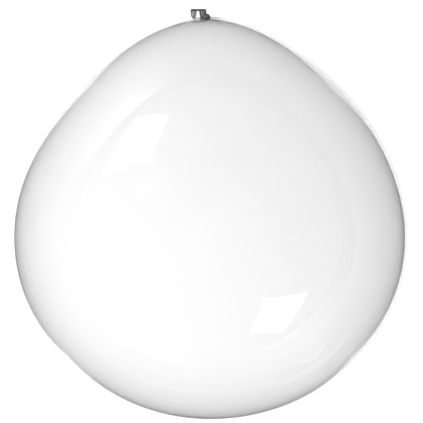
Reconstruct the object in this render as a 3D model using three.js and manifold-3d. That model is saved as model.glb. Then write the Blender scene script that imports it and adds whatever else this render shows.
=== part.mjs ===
// A clear latex balloon, blown up, tied off with a knot in its own neck and lying on its side.
// Millimetres, +Z up. The balloon's axis lies along Y, with the knotted neck towards +Y.
// The origin is in the middle of the flat spot that the balloon lies on, under its widest section.

import * as THREE from 'three';
import { mergeVertices } from 'three/addons/utils/BufferGeometryUtils.js';
import Module from 'manifold-3d';

const wasm = await Module();
wasm.setup();

// Body film
const widestRadius = 300;
const bottomReach = 278; // widest section to the round end
const neckReach = 334; // widest section to the gathered neck
const neckTaper = 0.195; // how far the neck half slims down inside a true ellipse
const flatSpotDepth = 4; // how far the film is pressed in where the balloon lies

// The film stretches unevenly, so three bands of the body stand a little to one side.
// A band's place and spread are shares of the reach from the widest section, its shift is in millimetres.
const sideBands = [
  { place: -0.84, spread: 0.14, shift: 2.9 },
  { place: 0.54, spread: 0.12, shift: 2.1 },
  { place: 0.95, spread: 0.13, shift: -3.6 },
];

// Film gathered round the neck
const neckRadius = 5.5;
const collarRise = 3; // the film climbs this far to the knot
const collarSpread = 10;
const pleatCount = 12;
const pleatDepth = 0.9;
const pleatPeak = 12; // distance from the axis where the pleats stand highest

// Knot and tail, placed from the neck's end
const knotOffset = new THREE.Vector3(-7, 5.2, 0);
const strandRadius = 3;
const heart = new THREE.Vector3(5.7, 4.2, 5.1); // film crushed in the middle of the knot
const tailRadius = 4.6; // bunched neck where it leaves the knot
const tailFlare = 5.2; // the same bunch where it opens into the mouth
const tailFolds = 7;
const foldDepth = 0.08; // share of the bunch's radius
const rimLength = 23.6; // rolled rim of the flattened mouth
const rimDepth = 9;
const rimCorner = 0.6; // share of the half length where the rim starts to turn
const rimBead = 1.4;
const rimOffset = new THREE.Vector3(-17.4, 15.8, 0);
const webThickness = 1.6; // film drawn tight across the mouth
const flapThickness = 4.4; // doubled lip that folds down beside the bunch
const flapRounding = 1.4;

// Facets
const roundSteps = 72;
const bandSteps = 33; // rings from the round end to the shoulder
const shoulderAngle = 75; // latitude where the rings close up towards the neck
const collarSteps = 9;
const strandSides = 10;
const strandSteps = 12;
const rimSteps = 36;
const rimSides = 8;
const foldSides = 6; // facets to a fold of the bunch
const weldDistance = 1e-4;

const filmColour = 0xe9eaea;
const filmRoughness = 0.08;
const filmOpacity = 0.35;

// Radius and height of the body's profile at a latitude, in degrees, -90 at the round end.
function bodyProfile(latitude) {
  const angle = THREE.MathUtils.degToRad(latitude);
  const share = Math.sin(angle);
  if (share < 0) {
    return new THREE.Vector2(widestRadius * Math.cos(angle), bottomReach * share);
  }
  const radius = widestRadius * Math.cos(angle) * (1 - neckTaper * share * share);
  const climb = collarRise * Math.exp(-radius / collarSpread);
  return new THREE.Vector2(radius, neckReach * share + climb);
}

// How far the whole section at a height stands to one side.
function sideShift(height) {
  const share = height / (height < 0 ? bottomReach : neckReach);
  let shift = 0;
  for (const band of sideBands) {
    const away = (share - band.place) / band.spread;
    shift += band.shift * Math.exp(-0.5 * away * away);
  }
  return shift;
}

function asSolid(geometry) {
  const bare = geometry.clone();
  bare.deleteAttribute('normal');
  bare.deleteAttribute('uv');
  const merged = mergeVertices(bare, weldDistance);
  const vertProperties = new Float32Array(merged.attributes.position.array);
  const triVerts = new Uint32Array(merged.index.array);
  return new wasm.Manifold(new wasm.Mesh({ numProp: 3, vertProperties, triVerts }));
}

function asGeometry(solid) {
  const mesh = solid.getMesh();
  const geometry = new THREE.BufferGeometry();
  geometry.setAttribute('position', new THREE.BufferAttribute(mesh.vertProperties, 3));
  geometry.setIndex(new THREE.BufferAttribute(mesh.triVerts, 1));
  geometry.computeVertexNormals();
  return geometry;
}

// The blown-up body, with pleats that run out from the neck.
function makeBody() {
  const profile = [];
  for (let step = 0; step <= bandSteps; step += 1) {
    profile.push(bodyProfile(-90 + (step / bandSteps) * (90 + shoulderAngle)));
  }
  const neckAngle = THREE.MathUtils.radToDeg(neckRadius / (widestRadius * (1 - neckTaper)));
  const closing = (neckAngle / (90 - shoulderAngle)) ** (1 / collarSteps);
  for (let step = 1; step <= collarSteps; step += 1) {
    profile.push(bodyProfile(90 - (90 - shoulderAngle) * closing ** step));
  }
  profile[0].x = 0;
  const neckEnd = profile[profile.length - 1];
  profile.push(new THREE.Vector2(0, neckEnd.y + strandRadius));

  const geometry = new THREE.LatheGeometry(profile, roundSteps);
  const place = geometry.attributes.position;
  for (let i = 0; i < place.count; i += 1) {
    const x = place.getX(i);
    const y = place.getY(i);
    const z = place.getZ(i);
    const radius = Math.hypot(x, z);
    const outwards = y > 0 ? radius / pleatPeak : 0;
    const pleat = pleatDepth * outwards * Math.exp(1 - outwards) * Math.cos(pleatCount * Math.atan2(x, z));
    place.setXYZ(i, x + sideShift(y), y + pleat, z);
  }
  return asSolid(geometry);
}

// A closed round tube through a few points.
function makeStrand(points, radius) {
  const outline = new THREE.Shape();
  outline.absarc(0, 0, radius, 0, 2 * Math.PI);
  const path = new THREE.CatmullRomCurve3(points, false, 'centripetal');
  return asSolid(new THREE.ExtrudeGeometry(outline, {
    steps: strandSteps,
    curveSegments: strandSides,
    extrudePath: path,
    bevelEnabled: false,
  }));
}

// The overhand knot: the neck rises, turns over its own front, goes round behind and out at the top.
function makeKnot() {
  const middle = new THREE.Vector3(0, neckReach, 0).add(knotOffset);
  const at = (x, y, z) => new THREE.Vector3(x, y, z).add(middle);
  const rising = [at(3, -9, 0), at(0.5, -4, 0), at(-1.5, 0.5, -1), at(1, 2.4, 1), at(4.2, 1, 3)];
  const over = [at(1, 2.4, 1), at(4.4, 1, 3), at(1, -0.6, 4.6), at(-4.2, -1.6, 3), at(-5, -1.6, -2)];
  const behind = [at(-5, -1.4, 1), at(-4.2, -1.8, -3.4), at(1, -1.6, -4.6), at(5, -1, -2), at(4.4, 0.4, 1)];
  const leaving = [at(5.2, -0.8, -1), at(3, 1, 0.5), at(-1, 4, 0), at(-2.6, 7, 0)];
  const strands = [rising, over, behind, leaving].map((points) => makeStrand(points, strandRadius));
  const crushed = new THREE.SphereGeometry(1, 16, 10);
  crushed.scale(heart.x, heart.y, heart.z);
  crushed.translate(middle.x, middle.y, middle.z);
  return [asSolid(crushed), ...strands];
}

// The bunched neck between the knot and the mouth, with lengthwise folds.
function makeBunch() {
  const foot = knotOffset.y;
  const length = rimOffset.y - foot;
  const bunch = new THREE.CylinderGeometry(tailFlare, tailRadius, length, foldSides * tailFolds, 2);
  const place = bunch.attributes.position;
  for (let i = 0; i < place.count; i += 1) {
    const x = place.getX(i);
    const z = place.getZ(i);
    const fold = 1 - foldDepth + foldDepth * Math.cos(tailFolds * Math.atan2(x, z));
    place.setXYZ(i, x * fold, place.getY(i), z * fold);
  }
  const rimEnd = rimOffset.x + rimLength / 2;
  bunch.translate(rimEnd - tailFlare, neckReach + foot + length / 2, 0);
  return asSolid(bunch);
}

// The flattened mouth: its rolled rim and the film drawn across inside it.
function makeMouth() {
  const middle = new THREE.Vector3(0, neckReach, 0).add(rimOffset);
  const halfLength = rimLength / 2 - rimBead;
  const halfDepth = rimDepth / 2 - rimBead;
  const at = (x, z) => new THREE.Vector3(x * halfLength, 0, z * halfDepth).add(middle);
  const front = [at(-1, 0), at(-rimCorner, 1), at(rimCorner, 1)];
  const back = [at(1, 0), at(rimCorner, -1), at(-rimCorner, -1)];
  const loop = new THREE.CatmullRomCurve3([...front, ...back], true, 'centripetal');
  const rim = new THREE.TubeGeometry(loop, rimSteps, rimBead, rimSides, true);
  const web = new THREE.CylinderGeometry(1, 1, webThickness, rimSteps / 2);
  web.scale(halfLength, 1, halfDepth);
  web.translate(middle.x, middle.y - webThickness / 2, middle.z);
  return [asSolid(rim), asSolid(web)];
}

// The lip on the far side of the mouth, folded down to a point beside the bunch.
function makeFlap() {
  const outline = new THREE.Shape();
  outline.moveTo(-29, rimOffset.y);
  outline.quadraticCurveTo(-29, 6, -25.6, 3.2);
  outline.lineTo(-21.6, 1.2);
  outline.quadraticCurveTo(-20.8, 8, -19.6, rimOffset.y);
  outline.closePath();
  const flap = new THREE.ExtrudeGeometry(outline, {
    depth: flapThickness - 2 * flapRounding,
    curveSegments: 6,
    bevelSize: flapRounding,
    bevelOffset: -flapRounding,
    bevelThickness: flapRounding,
    bevelSegments: 3,
  });
  flap.translate(0, neckReach, flapRounding - flapThickness / 2);
  return asSolid(flap);
}

// Everything under the flat spot is cut away.
function makeFlatSpot() {
  const block = new THREE.BoxGeometry(widestRadius, widestRadius, widestRadius);
  block.translate(0, 0, flatSpotDepth - 1.5 * widestRadius);
  return asSolid(block);
}

let skin = makeBody();
for (const fold of [...makeKnot(), makeBunch(), ...makeMouth(), makeFlap()]) {
  skin = skin.add(fold);
}
skin = skin.subtract(makeFlatSpot());
// Pockets that the folds shut in are filled: only the outermost skin is kept.
skin = skin.decompose().reduce((outer, next) => (next.volume() > outer.volume() ? next : outer));

const film = new THREE.MeshStandardMaterial({
  color: filmColour,
  roughness: filmRoughness,
  metalness: 0,
  transparent: true,
  opacity: filmOpacity,
});
const balloon = new THREE.Mesh(asGeometry(skin), film);
balloon.name = 'balloon';
balloon.position.z = widestRadius - flatSpotDepth;

const part = new THREE.Group();
part.add(balloon);

export default part;
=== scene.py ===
import math

import bmesh
import bpy
from mathutils import Matrix, Vector


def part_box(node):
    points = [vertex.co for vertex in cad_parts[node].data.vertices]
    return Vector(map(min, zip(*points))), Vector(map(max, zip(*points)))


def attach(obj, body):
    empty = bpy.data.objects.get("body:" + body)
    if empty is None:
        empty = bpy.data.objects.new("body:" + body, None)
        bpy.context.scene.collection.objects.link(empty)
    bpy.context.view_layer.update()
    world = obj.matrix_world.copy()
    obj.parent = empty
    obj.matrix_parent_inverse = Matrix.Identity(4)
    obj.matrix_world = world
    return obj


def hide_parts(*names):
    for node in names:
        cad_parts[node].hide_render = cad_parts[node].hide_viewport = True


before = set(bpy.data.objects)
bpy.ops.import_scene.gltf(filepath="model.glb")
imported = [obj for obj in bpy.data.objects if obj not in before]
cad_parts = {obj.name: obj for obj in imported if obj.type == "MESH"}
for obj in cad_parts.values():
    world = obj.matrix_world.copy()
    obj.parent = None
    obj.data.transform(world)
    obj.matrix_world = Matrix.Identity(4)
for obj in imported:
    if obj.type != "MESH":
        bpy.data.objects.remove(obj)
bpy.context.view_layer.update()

low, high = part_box("balloon")
mm = 0.001

# main sizes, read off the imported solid
widestRadius = (high.x - low.x) / 2
bottomReach = -low.y                   # widest section to the round end
flatDepth = 2 * widestRadius - high.z  # how far the film is pressed in where it lies
axisHeight = widestRadius - flatDepth
tailLength = 17.2 * mm                 # neck's end to the top of the rim
neckReach = high.y - tailLength        # widest section to the gathered neck


def hexColour(code):
    # sRGB hex to linear, as the shader sockets want it
    parts = [int(code[i:i + 2], 16) / 255 for i in (1, 3, 5)]
    return [p / 12.92 if p <= 0.04045 else ((p + 0.055) / 1.055) ** 2.4 for p in parts] + [1.0]


def addNode(material, kind, settings=None, values=None, links=None):
    # one node with its settings, socket values and incoming links
    node = material.node_tree.nodes.new(kind)
    for key, value in (settings or {}).items():
        setattr(node, key, value)
    for key, value in (values or {}).items():
        node.inputs[key].default_value = value
    for key, socket in (links or {}).items():
        material.node_tree.links.new(socket, node.inputs[key])
    return node


def newMaterial(name):
    material = bpy.data.materials.new(name)
    material.use_nodes = True
    material.node_tree.nodes.clear()
    return material


def newPiece(name, bm, material):
    mesh = bpy.data.meshes.new(name)
    bm.to_mesh(mesh)
    bm.free()
    mesh.shade_smooth()
    mesh.materials.append(material)
    piece = bpy.data.objects.new(name, mesh)
    bpy.context.scene.collection.objects.link(piece)
    return piece


# Camera: straight above the lying balloon, so that its neck points up in the picture
camera = {
    "lens": 200.0,
    "sensor": 36.0,
    "picture": 423,               # pixels, both ways
    "bodyHalfWidth": 195.9,       # pixels
    "bodyMiddle": (209.66, 237.5),  # pixels, axis and widest section
}


def makeCamera():
    data = bpy.data.cameras.new("camera")
    data.lens = camera["lens"]
    data.sensor_width = camera["sensor"]
    limb = widestRadius * camera["lens"] * camera["picture"] / (camera["sensor"] * camera["bodyHalfWidth"])
    distance = math.hypot(limb, widestRadius)
    pixel = distance * camera["sensor"] / camera["lens"] / camera["picture"]
    middle = camera["picture"] / 2
    across = (middle - camera["bodyMiddle"][0]) * pixel
    along = (camera["bodyMiddle"][1] - middle) * pixel
    obj = bpy.data.objects.new("camera", data)
    obj.location = (across, along, axisHeight + distance)
    data.clip_end = 50
    bpy.context.scene.collection.objects.link(obj)
    bpy.context.scene.camera = obj
    print("camera", round(distance, 3), "m above the balloon's axis")


# Stage: pale silvered floor, one framed spot overhead, dim surroundings and one softbox to the upper left
stage = {
    "floorSize": 24.0,
    "floorDrop": 0.5 * mm,        # keeps the floor just clear of the film
    "floorColour": "#f4f4f4",
    "floorRoughness": 0.65,       # throws the lamp back up, so the film mirrors little of it
    "skyTones": (0.2, 0.3),       # overhead and underfoot, then along the horizon
    "skySpread": 0.7,             # steepness where the overhead tone is reached
    "skyLean": -0.28,             # how much brighter it is to the left and behind the round end
    "poolMiddle": (0.003, 0.04),
    "poolAngle": 25,              # degrees, wider than the frame in front of it
    "poolLampRadius": 0.01,
    "poolHeight": 3.4,
    "poolSides": (0.352, 0.39),   # from the middle: where the lit square starts to fade and where it ends
    "poolLean": (0.14, 0.10),     # how it fades to the right and towards the neck, over half the balloon
    "poolPower": 374.0,
    "boxMiddle": (-0.552, 0.798, 0.242),   # shares of the distance from the balloon's middle
    "boxFacing": (0.60, -0.12, -0.79),
    "boxLongSide": (-0.043, 0.983, -0.18),
    "boxSides": (0.39, 0.64),
    "boxDistance": 9.0,
    "boxPower": 170.0,
}


def makeStage():
    screen = newMaterial("silvered screen floor")
    shader = addNode(screen, "ShaderNodeBsdfPrincipled", values={
        "Base Color": hexColour(stage["floorColour"]), "Metallic": 1.0, "Roughness": stage["floorRoughness"]})
    addNode(screen, "ShaderNodeOutputMaterial", links={"Surface": shader.outputs[0]})
    bm = bmesh.new()
    bmesh.ops.create_grid(bm, x_segments=1, y_segments=1, size=stage["floorSize"] / 2)
    bmesh.ops.translate(bm, verts=bm.verts, vec=(0, 0, -stage["floorDrop"]))
    newPiece("floor", bm, screen)

    # a spot with a soft square frame in front, brighter to one side
    spot = bpy.data.lights.new("pool", "SPOT")
    spot.energy = stage["poolPower"]
    spot.spot_size = math.radians(stage["poolAngle"])
    spot.spot_blend = 0
    spot.shadow_soft_size = stage["poolLampRadius"]
    spot.use_nodes = True
    beam = addNode(spot, "ShaderNodeTexCoord").outputs["Normal"]
    parts = addNode(spot, "ShaderNodeSeparateXYZ", links={0: beam}).outputs
    reach = widestRadius / stage["poolHeight"]
    levels = []
    for axis in (0, 1):
        slope = addNode(spot, "ShaderNodeMath", {"operation": "DIVIDE"}, links={0: parts[axis], 1: parts[2]})
        aside = addNode(spot, "ShaderNodeMath", {"operation": "ABSOLUTE"}, links={0: slope.outputs[0]})
        near, far = [side / stage["poolHeight"] for side in stage["poolSides"]]
        levels.append(addNode(spot, "ShaderNodeMapRange", {"interpolation_type": "SMOOTHSTEP"},
                              {"From Min": far, "From Max": near}, {"Value": aside.outputs[0]}))
        lean = stage["poolLean"][axis]
        levels.append(addNode(spot, "ShaderNodeMapRange", None,
                              {"From Min": -reach, "From Max": reach, "To Min": 1 - lean, "To Max": 1 + lean},
                              {"Value": slope.outputs[0]}))
    level = levels[0]
    for other in levels[1:]:
        level = addNode(spot, "ShaderNodeMath", {"operation": "MULTIPLY"}, links={
            0: level.outputs[0], 1: other.outputs[0]})
    spot.node_tree.links.new(level.outputs[0], spot.node_tree.nodes["Emission"].inputs["Strength"])
    pool = bpy.data.objects.new("pool", spot)
    pool.location = (*stage["poolMiddle"], stage["poolHeight"])
    bpy.context.scene.collection.objects.link(pool)

    middle = Vector((0, 0, axisHeight)) + Vector(stage["boxMiddle"]) * stage["boxDistance"]
    sides = [side * stage["boxDistance"] for side in stage["boxSides"]]
    boxLamp = bpy.data.lights.new("softbox", "AREA")
    boxLamp.shape = "RECTANGLE"
    boxLamp.size, boxLamp.size_y = sides
    boxLamp.energy = stage["boxPower"]
    box = bpy.data.objects.new("softbox", boxLamp)
    box.location = middle
    back = -Vector(stage["boxFacing"]).normalized()
    side = Vector(stage["boxLongSide"]).cross(back).normalized()
    box.rotation_euler = Matrix((side, back.cross(side), back)).transposed().to_euler()
    bpy.context.scene.collection.objects.link(box)

    world = bpy.data.worlds.new("studio")
    world.use_nodes = True
    ways = addNode(world, "ShaderNodeSeparateXYZ", links={
        0: addNode(world, "ShaderNodeTexCoord").outputs["Generated"]}).outputs
    steep = addNode(world, "ShaderNodeMath", {"operation": "ABSOLUTE"}, links={0: ways[2]})
    tone = addNode(world, "ShaderNodeMapRange", {"interpolation_type": "SMOOTHSTEP"},
                   {"From Max": stage["skySpread"], "To Min": stage["skyTones"][1], "To Max": stage["skyTones"][0]},
                   {"Value": steep.outputs[0]})
    aside = addNode(world, "ShaderNodeMath", {"operation": "ADD"}, links={0: ways[0], 1: ways[1]})
    lean = addNode(world, "ShaderNodeMath", {"operation": "MULTIPLY_ADD"},
                   {1: stage["skyLean"], 2: 1.0}, {0: aside.outputs[0]})
    grey = addNode(world, "ShaderNodeMath", {"operation": "MULTIPLY"}, links={
        0: tone.outputs[0], 1: lean.outputs[0]})
    world.node_tree.links.new(grey.outputs[0], world.node_tree.nodes["Background"].inputs["Color"])
    bpy.context.scene.world = world
    bpy.context.scene.view_settings.view_transform = "Standard"
    print("stage ready")


# Body film: one skin from the round end to the gathered neck
bodyFilm = {
    "neckTaper": 0.195,           # how far the neck half slims down inside a true ellipse
    "sideBands": ((-0.84, 0.14, 2.9 * mm), (0.54, 0.12, 2.1 * mm), (0.95, 0.13, -3.6 * mm)),
    "neckRadius": 5.5 * mm,
    "collarRise": 3 * mm,         # the film climbs this far to the knot
    "collarSpread": 10 * mm,
    "pleats": ((12, 0.6 * mm, 0.0), (19, 0.3 * mm, 1.3), (31, 0.15 * mm, 0.4)),
    "pleatPeak": 12 * mm,         # distance from the axis where the pleats stand highest
    "aroundSteps": 256,
    "bodyRings": 120,
    "shoulder": 75,               # latitude where the rings close up towards the neck
    "collarRings": 34,
    "cap": ((0.7, 2 * mm), (0, 3 * mm)),   # closes the neck: share of its radius, rise above it
    "wall": 0.4 * mm,
}


def bodyProfile(latitude):
    angle = math.radians(latitude)
    share = math.sin(angle)
    if share < 0:
        return widestRadius * math.cos(angle), bottomReach * share
    radius = widestRadius * math.cos(angle) * (1 - bodyFilm["neckTaper"] * share ** 2)
    return radius, neckReach * share + bodyFilm["collarRise"] * math.exp(-radius / bodyFilm["collarSpread"])


def sideShift(height):
    # the film stretches unevenly, so three bands of the body stand a little to one side
    share = height / (bottomReach if height < 0 else neckReach)
    return sum(shift * math.exp(-0.5 * ((share - place) / spread) ** 2)
               for place, spread, shift in bodyFilm["sideBands"])


def pleatHeight(x, y, z):
    outwards = math.hypot(x, z) / bodyFilm["pleatPeak"] if y > 0 else 0
    around = math.atan2(x, z)
    folds = sum(depth * math.cos(count * around + start) for count, depth, start in bodyFilm["pleats"])
    return folds * outwards * math.exp(1 - outwards)


def makeBody(material):
    shoulder, rings, collar = bodyFilm["shoulder"], bodyFilm["bodyRings"], bodyFilm["collarRings"]
    neckAngle = math.degrees(bodyFilm["neckRadius"] / (widestRadius * (1 - bodyFilm["neckTaper"])))
    closing = (neckAngle / (90 - shoulder)) ** (1 / collar)
    latitudes = [-90 + (90 + shoulder) * step / rings for step in range(rings + 1)]
    latitudes += [90 - (90 - shoulder) * closing ** step for step in range(1, collar + 1)]
    bm = bmesh.new()
    line = [bm.verts.new((*bodyProfile(latitude), 0)) for latitude in latitudes]
    line[0].co.x = 0
    neckEnd = line[-1].co
    for inwards, rise in bodyFilm["cap"]:
        line.append(bm.verts.new((inwards * neckEnd.x, neckEnd.y + rise, 0)))
    for first, second in zip(line, line[1:]):
        bm.edges.new((first, second))
    bmesh.ops.spin(bm, geom=bm.verts[:] + bm.edges[:], cent=(0, 0, 0), axis=(0, 1, 0), dvec=(0, 0, 0),
                   angle=2 * math.pi, steps=bodyFilm["aroundSteps"], use_merge=True)
    bmesh.ops.remove_doubles(bm, verts=bm.verts, dist=0.001 * mm)
    bmesh.ops.recalc_face_normals(bm, faces=bm.faces)
    for vert in bm.verts:
        x, y, z = vert.co
        vert.co = (x + sideShift(y), y + pleatHeight(x, y, z), max(z, -axisHeight))
    bmesh.ops.translate(bm, verts=bm.verts, vec=(0, 0, axisHeight))
    body = newPiece("balloon_body", bm, material)
    skin = body.modifiers.new("film", "SOLIDIFY")
    skin.thickness = bodyFilm["wall"]
    skin.offset = -1
    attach(body, "root")
    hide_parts("balloon")
    print("body film", len(body.data.vertices), "vertices")
    return body


# Knot and tail: the neck tied on itself, then the gathered tail, its loose flap and the rolled rim
# places are mm from the neck's end: across, along, up; each station also has its half width and half depth
knot = {
    "strands": (
        # folds, their depth, stations
        (9, 0.10, ((-2.2, 0.6, 0, 3.9, 4.3), (-3.2, 1.8, 0, 3.9, 4.0), (-6.0, 4.5, 0, 3.8, 3.4),
                   (-9.8, 8.4, 0, 5.3, 3.6), (-10.6, 11.5, 0, 5.1, 3.7), (-10.7, 15.4, 0, 5.1, 4.0))),
        (5, 0.09, ((-6, 7.6, 1, 2.4, 2.4), (-2.6, 6.2, 3, 2.9, 2.6), (-6, 4.6, 4.6, 3.1, 2.5),
                   (-11.2, 3.6, 3, 3.0, 2.6), (-12, 3.6, -2, 2.8, 2.6))),
        (5, 0.09, ((-12, 3.8, 1, 2.8, 2.6), (-11.2, 3.4, -3.4, 3.0, 2.6), (-6, 3.6, -4.6, 3.1, 2.5),
                   (-2, 4.2, -2, 2.9, 2.6), (-2.6, 5.6, 1, 2.7, 2.6))),
        (6, 0.08, ((-1.8, 4.4, -1, 2.6, 2.6), (-4, 6.2, 2.2, 2.7, 2.4), (-8, 9.2, 1.6, 2.7, 2.5),
                   (-9.6, 12.4, 0.6, 3.0, 3.0))),
    ),
    "flap": (7, 0.12, ((-24.3, 15.8, 0, 4.7, 2.0), (-24.4, 11, 0.4, 4.5, 1.7), (-24.3, 7, 0.3, 4.1, 1.5),
                       (-23.8, 4.5, 0, 3.1, 1.2), (-22.8, 2.6, -0.2, 1.8, 0.9), (-22.0, 1.4, -0.3, 0.7, 0.5))),
    "web": (0, 0, ((-17.4, 13.9, 0, 10.4, 3.1), (-17.4, 14.4, 0, 10.6, 3.2), (-17.4, 14.9, 0, 10.4, 3.1))),
    "rimMiddle": (-17.4, 15.8, 0),
    "rimReach": (10.4, 3.1),      # half length and half depth of the bead's line
    "rimBead": 1.4,
    "rimCorner": 0.7,             # 1 is an ellipse, less is squarer
    "rimSteps": 72,
    "sides": 40,
    "stepsPerStation": 10,
    "voxel": 0.28 * mm,
}


def smoothStations(stations, steps):
    # a smooth line through the stations, every number eased alike
    rows = [stations[0], *stations, stations[-1]]
    line = []
    for a, b, c, d in zip(rows, rows[1:], rows[2:], rows[3:]):
        for step in range(steps):
            t = step / steps
            line.append([0.5 * (2 * q + (r - p) * t + (2 * p - 5 * q + 4 * r - s) * t ** 2
                                + (3 * q - p - 3 * r + s) * t ** 3) for p, q, r, s in zip(a, b, c, d)])
    return line + [list(stations[-1])]


def sweep(bm, folds, depth, stations):
    # a folded round section drawn along the stations and closed at both ends
    ring = bmesh.ops.create_circle(bm, segments=knot["sides"], radius=1)["verts"]
    for vert in ring:
        around = math.atan2(vert.co.y, vert.co.x)
        vert.co *= 1 + depth * math.cos(folds * around) + 0.5 * depth * math.cos((folds + 4) * around + 1)
    edges = {edge for vert in ring for edge in vert.link_edges}
    ends = set(edges)
    points = [Vector(row[:3]) for row in stations]
    towards = (points[1] - points[0]).normalized()
    side = towards.cross(Vector((0, 0, 1))).normalized()
    last = Matrix()
    for index, row in enumerate(stations):
        ahead = (points[min(index + 1, len(points) - 1)] - points[max(index - 1, 0)]).normalized()
        side = (towards.rotation_difference(ahead) @ side).normalized()
        towards = ahead
        place = Matrix((side, side.cross(towards), towards)).transposed().to_4x4()
        place = Matrix.Translation(points[index]) @ place @ Matrix.Diagonal((row[3], row[4], 1, 1))
        if index:
            made = bmesh.ops.extrude_edge_only(bm, edges=list(edges))["geom"]
            ring = [item for item in made if isinstance(item, bmesh.types.BMVert)]
            fresh = set(ring)
            edges = {edge for vert in ring for edge in vert.link_edges if edge.other_vert(vert) in fresh}
        bmesh.ops.transform(bm, matrix=place @ last.inverted(), verts=ring)
        last = place
    bmesh.ops.holes_fill(bm, edges=list(ends | edges), sides=0)


def makeKnot(material):
    bm = bmesh.new()
    for folds, depth, stations in (*knot["strands"], knot["flap"], knot["web"]):
        sweep(bm, folds, depth, smoothStations(stations, knot["stepsPerStation"]))
    middle, (halfLength, halfDepth) = knot["rimMiddle"], knot["rimReach"]
    loop = []
    for step in range(knot["rimSteps"] + 1):
        turn = math.radians(360 / knot["rimSteps"] * step)
        across = math.copysign(abs(math.cos(turn)) ** knot["rimCorner"], math.cos(turn)) * halfLength
        loop.append((middle[0] + across, middle[1], middle[2] + halfDepth * math.sin(turn),
                     knot["rimBead"], knot["rimBead"]))
    sweep(bm, 0, 0, loop)
    bmesh.ops.recalc_face_normals(bm, faces=bm.faces)
    bmesh.ops.scale(bm, vec=(mm, mm, mm), verts=bm.verts)
    bmesh.ops.translate(bm, vec=(0, neckReach, axisHeight), verts=bm.verts)
    piece = newPiece("balloon_knot", bm, material)
    fuse = piece.modifiers.new("fuse", "REMESH")
    fuse.mode = "VOXEL"
    fuse.voxel_size = knot["voxel"]
    fuse.use_smooth_shade = True
    soften = piece.modifiers.new("soften", "SMOOTH")
    soften.factor = 0.5
    soften.iterations = 3
    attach(piece, "root")
    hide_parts("balloon")
    print("knot and tail swept")
    return piece


# Clear latex, dipped and blown up thin: sharp reflections, clean see-through, dark only at the edges
clearLatex = {
    "colour": "#ffffff",
    "neckColour": "#dddcd8",      # less stretched there, so smokier
    "neckFade": (0.008, 0.05),    # metres from the neck's end
    "ior": 1.52,
    "roughness": (0.0, 0.045),    # clean film to smudged film
    "smudgeRange": (0.5, 0.75),
    "smudgeSize": 0.09,
    "rippleSize": 0.14,
    "rippleHeight": 0.25 * mm,
    "shade": "#f4f4f4",           # what each surface of the film takes from a lamp's light
}


def makeClearLatex():
    latex = newMaterial("clear latex film")
    place = addNode(latex, "ShaderNodeTexCoord").outputs["Object"]
    toNeck = addNode(latex, "ShaderNodeVectorMath", {"operation": "DISTANCE"},
                     {1: (0, neckReach, axisHeight)}, {0: place})
    fade = addNode(latex, "ShaderNodeMapRange", {"interpolation_type": "SMOOTHSTEP"},
                   {"From Min": clearLatex["neckFade"][0], "From Max": clearLatex["neckFade"][1]},
                   {"Value": toNeck.outputs["Value"]})
    tint = addNode(latex, "ShaderNodeMix", {"data_type": "RGBA"},
                   {6: hexColour(clearLatex["neckColour"]), 7: hexColour(clearLatex["colour"])},
                   {0: fade.outputs[0]})
    smudge = addNode(latex, "ShaderNodeTexNoise", None,
                     {"Scale": 1 / clearLatex["smudgeSize"], "Detail": 5.0, "Roughness": 0.6}, {"Vector": place})
    rough = addNode(latex, "ShaderNodeMapRange", None,
                    {"From Min": clearLatex["smudgeRange"][0], "From Max": clearLatex["smudgeRange"][1],
                     "To Min": clearLatex["roughness"][0],
                     "To Max": clearLatex["roughness"][1]}, {"Value": smudge.outputs[0]})
    ripple = addNode(latex, "ShaderNodeTexNoise", None,
                     {"Scale": 1 / clearLatex["rippleSize"], "Detail": 1.0}, {"Vector": place})
    bump = addNode(latex, "ShaderNodeBump", None,
                   {"Strength": 1.0, "Distance": clearLatex["rippleHeight"]}, {"Height": ripple.outputs[0]})
    shader = addNode(latex, "ShaderNodeBsdfPrincipled", values={
        "IOR": clearLatex["ior"], "Transmission Weight": 1.0}, links={
        "Base Color": tint.outputs[2], "Roughness": rough.outputs[0], "Normal": bump.outputs[0]})
    path = addNode(latex, "ShaderNodeLightPath")
    through = addNode(latex, "ShaderNodeBsdfTransparent", values={"Color": hexColour(clearLatex["shade"])})
    mix = addNode(latex, "ShaderNodeMixShader", links={
        0: path.outputs["Is Shadow Ray"], 1: shader.outputs[0], 2: through.outputs[0]})
    addNode(latex, "ShaderNodeOutputMaterial", links={"Surface": mix.outputs[0]})
    return latex


# Bunched latex, unstretched and layered: smoky grey with a soft gloss, lighter in the thin flap, darkest in the
# rim, with painted shade in the hollows of the folds
bunchedLatex = {
    # each pair: the darker tone is painted shade in the hollows of the folds, the lighter one sits on the raised
    # folds
    "knotColours": ("#40403d", "#62615e"),
    "flapColours": ("#5c5c5a", "#8b8b89"),
    "rimColours": ("#343331", "#4c4b49"),
    "foldSize": (1.8 * mm, 9 * mm, 1.8 * mm),
    "foldRange": (0.3, 0.7),
    "flapEdge": -19 * mm,
    "flapBlend": 1 * mm,
    "rimEdge": 14.2 * mm,         # from the neck's end
    "rimBlend": 0.4 * mm,
    "roughness": (0.22, 0.5),
    "foldHeight": 0.35 * mm,
}


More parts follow.
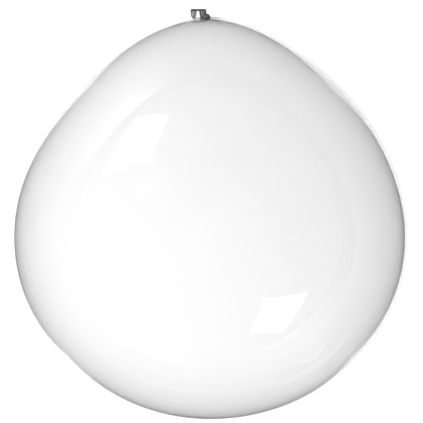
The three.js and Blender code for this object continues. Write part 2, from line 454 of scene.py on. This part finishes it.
def makeBunchedLatex():
    latex = newMaterial("bunched latex, tied by hand")
    place = addNode(latex, "ShaderNodeTexCoord").outputs["Object"]
    stretched = addNode(latex, "ShaderNodeMapping", None,
                        {"Scale": [1 / size for size in bunchedLatex["foldSize"]]}, {"Vector": place})
    folds = addNode(latex, "ShaderNodeTexNoise", None,
                    {"Scale": 1.0, "Detail": 2.0, "Distortion": 0.3}, {"Vector": stretched.outputs[0]})
    # the same fold noise sets the bump, so the darker tone lands in the hollows: painted shade in the folds
    foldShade = addNode(latex, "ShaderNodeMapRange", None, {"From Min": bunchedLatex["foldRange"][0],
                                                              "From Max": bunchedLatex["foldRange"][1]},
                       {"Value": folds.outputs[0]})
    tones = [addNode(latex, "ShaderNodeMix", {"data_type": "RGBA"},
                     {6: hexColour(bunchedLatex[key][0]), 7: hexColour(bunchedLatex[key][1])},
                     {0: foldShade.outputs[0]}).outputs[2] for key in ("knotColours", "flapColours", "rimColours")]
    parts = addNode(latex, "ShaderNodeSeparateXYZ", links={0: place}).outputs
    inFlap = addNode(latex, "ShaderNodeMapRange", None,
                     {"From Min": bunchedLatex["flapEdge"] + bunchedLatex["flapBlend"],
                      "From Max": bunchedLatex["flapEdge"] - bunchedLatex["flapBlend"]},
                     {"Value": parts[0]})
    rimStart = neckReach + bunchedLatex["rimEdge"]
    inRim = addNode(latex, "ShaderNodeMapRange", None,
                    {"From Min": rimStart - bunchedLatex["rimBlend"],
                     "From Max": rimStart + bunchedLatex["rimBlend"]}, {"Value": parts[1]})
    tint = addNode(latex, "ShaderNodeMix", {"data_type": "RGBA"},
                   links={0: inFlap.outputs[0], 6: tones[0], 7: tones[1]})
    tint = addNode(latex, "ShaderNodeMix", {"data_type": "RGBA"},
                   links={0: inRim.outputs[0], 6: tint.outputs[2], 7: tones[2]})
    rough = addNode(latex, "ShaderNodeMapRange", None,
                    {"To Min": bunchedLatex["roughness"][0], "To Max": bunchedLatex["roughness"][1]},
                    {"Value": folds.outputs[0]})
    bump = addNode(latex, "ShaderNodeBump", None,
                   {"Strength": 0.6, "Distance": bunchedLatex["foldHeight"]}, {"Height": folds.outputs[0]})
    shader = addNode(latex, "ShaderNodeBsdfPrincipled", values={"IOR": 1.52}, links={
        "Base Color": tint.outputs[2], "Roughness": rough.outputs[0], "Normal": bump.outputs[0]})
    addNode(latex, "ShaderNodeOutputMaterial", links={"Surface": shader.outputs[0]})
    return latex


makeCamera()
makeStage()
body = makeBody(makeClearLatex())
body.visible_diffuse = False    # lamps already shine through it
unlit = bpy.data.collections.new("unlit by the spot")   # so the spot leaves no glint on the film
unlit.objects.link(body)
unlit.collection_objects[0].light_linking.link_state = "EXCLUDE"
bpy.data.objects["pool"].light_linking.receiver_collection = unlit
tail = makeKnot(makeBunchedLatex())
tail.visible_shadow = False     # too small to shade the lit floor
